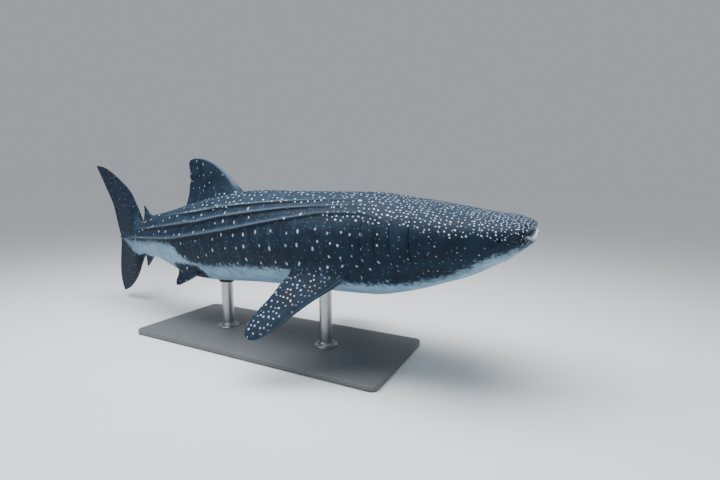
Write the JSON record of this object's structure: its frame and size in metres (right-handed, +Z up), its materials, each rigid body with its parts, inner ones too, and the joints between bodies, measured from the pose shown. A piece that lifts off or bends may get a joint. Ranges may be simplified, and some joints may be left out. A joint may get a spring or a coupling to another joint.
{
  "type": "whale shark model",
  "caption": "Life-size still model of a swimming whale shark with its tail swung to its left, held above a plain flat base on short upright rods.",
  "frame": {"origin": "centre of the underside of the stand's base, where it rests on the floor", "axes": "+X towards the snout, +Y towards the animal's left side, +Z up"},
  "size_m": [7.018, 2.1076, 2.1929],
  "materials": {
    "skin_dark": "satin",
    "skin_pale": "satin",
    "eye": "gloss",
    "stand": "satin"
  },
  "bodies": {
    "root": {"head": "skin_dark", "gill_region": "skin_dark", "chest": "skin_dark", "mid_body": "skin_dark", "hind_body": "skin_dark", "tail_stalk": "skin_dark", "caudal_upper": "skin_dark", "caudal_lower": "skin_dark", "dorsal_first": "skin_dark", "dorsal_second": "skin_dark", "anal_fin": "skin_dark", "pectoral_left": "skin_dark", "pectoral_right": "skin_dark", "pelvic_left": "skin_dark", "pelvic_right": "skin_dark", "lower_jaw": "skin_pale", "eye_left": "eye", "eye_right": "eye", "stand_base": "stand", "stand_rod_front": "stand", "stand_rod_rear": "stand"}
  },
  "joints": []
}
